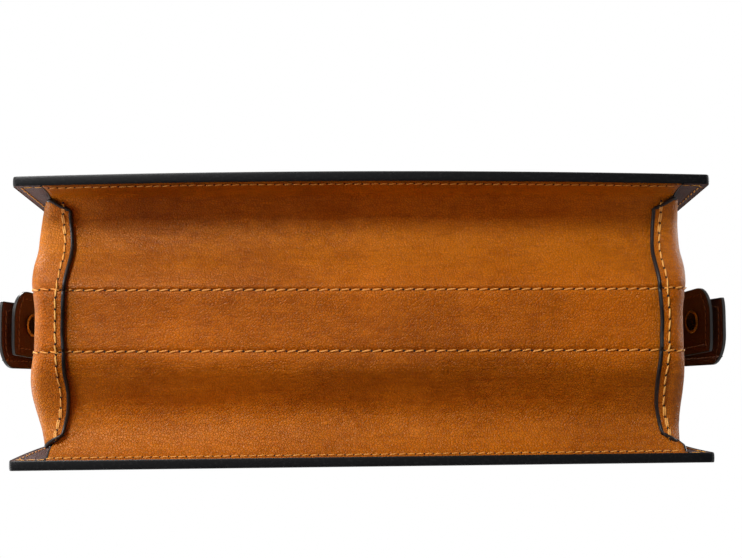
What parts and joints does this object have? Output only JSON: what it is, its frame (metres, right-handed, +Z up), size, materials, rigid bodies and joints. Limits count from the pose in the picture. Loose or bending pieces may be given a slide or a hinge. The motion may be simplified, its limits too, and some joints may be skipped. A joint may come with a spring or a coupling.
{
  "type": "satchel bag",
  "caption": "Stiff-panelled leather satchel with pleated gussets, two dividers, a buckled flap, a top handle and side rings with snap tabs.",
  "frame": {"origin": "on the ground under the middle of the bag's box", "axes": "+X along the width, to the right as seen from the front; +Y from the front panel to the back panel; +Z up"},
  "size_m": [0.4626, 0.1701, 0.3545],
  "materials": {
    "tan_leather": "polished vegetable-tanned leather with black painted edges",
    "trim_leather": "doubled tan leather with black painted edges",
    "lining_leather": "smooth dark brown lining leather",
    "brass": "aged brass",
    "board": "pressed fibre board"
  },
  "bodies": {
    "root": {"back_lining": "lining_leather", "back_panel": "tan_leather", "base_board": "board", "bottom_gusset": "tan_leather", "divider_front": "lining_leather", "divider_rear": "lining_leather", "flap_anchor": "tan_leather", "front_lining": "lining_leather", "front_panel": "tan_leather", "magnet_socket_left": "brass", "magnet_socket_right": "brass", "side_chape_left": "trim_leather", "side_chape_right": "trim_leather", "side_gusset_left": "tan_leather", "side_gusset_right": "tan_leather"},
    "flap": {"buckle_chape_left": "trim_leather", "buckle_chape_right": "trim_leather", "buckle_frame_left": "brass", "buckle_frame_right": "brass", "buckle_prong_left": "brass", "buckle_prong_right": "brass", "closure_strap_left": "trim_leather", "closure_strap_right": "trim_leather", "flap_lining": "lining_leather", "flap_panel": "tan_leather", "handle_chape_left": "trim_leather", "handle_chape_right": "trim_leather", "magnet_cap_left": "brass", "magnet_cap_right": "brass", "strap_keeper_left": "trim_leather", "strap_keeper_right": "trim_leather"},
    "handle": {"handle_grip": "trim_leather", "handle_loop_left": "trim_leather", "handle_loop_right": "trim_leather", "handle_ring_left": "brass", "handle_ring_right": "brass"},
    "ring_left": {"side_ring_left": "brass"},
    "ring_right": {"side_ring_right": "brass"},
    "tab_left": {"side_tab_left": "trim_leather", "snap_cap_left": "brass", "snap_socket_left": "brass"},
    "tab_right": {"side_tab_right": "trim_leather", "snap_cap_right": "brass", "snap_socket_right": "brass"}
  },
  "joints": [
    {"name": "flap_hinge", "type": "hinge", "parent": "root", "child": "flap", "pos_m": [0, 0.084, 0.2953], "axis": [-1, 0, 0], "range_deg": [0, 185]},
    {"name": "handle_swing", "type": "hinge", "parent": "flap", "child": "handle", "pos_m": [0, 0.018, 0.3026], "axis": [1, 0, 0], "range_deg": [-70, 70]},
    {"name": "ring_left_swing", "type": "hinge", "parent": "root", "child": "ring_left", "pos_m": [-0.1908, 0.01279, 0.2245], "axis": [0, 1, 0], "range_deg": [0, 80]},
    {"name": "tab_left_swing", "type": "hinge", "parent": "ring_left", "child": "tab_left", "pos_m": [-0.1908, 0.01279, 0.2055], "axis": [0, 1, 0], "range_deg": [-10, 75]},
    {"name": "ring_right_swing", "type": "hinge", "parent": "root", "child": "ring_right", "pos_m": [0.1908, 0.01279, 0.2245], "axis": [0, -1, 0], "range_deg": [0, 80]},
    {"name": "tab_right_swing", "type": "hinge", "parent": "ring_right", "child": "tab_right", "pos_m": [0.1908, 0.01279, 0.2055], "axis": [0, -1, 0], "range_deg": [-10, 75]}
  ]
}
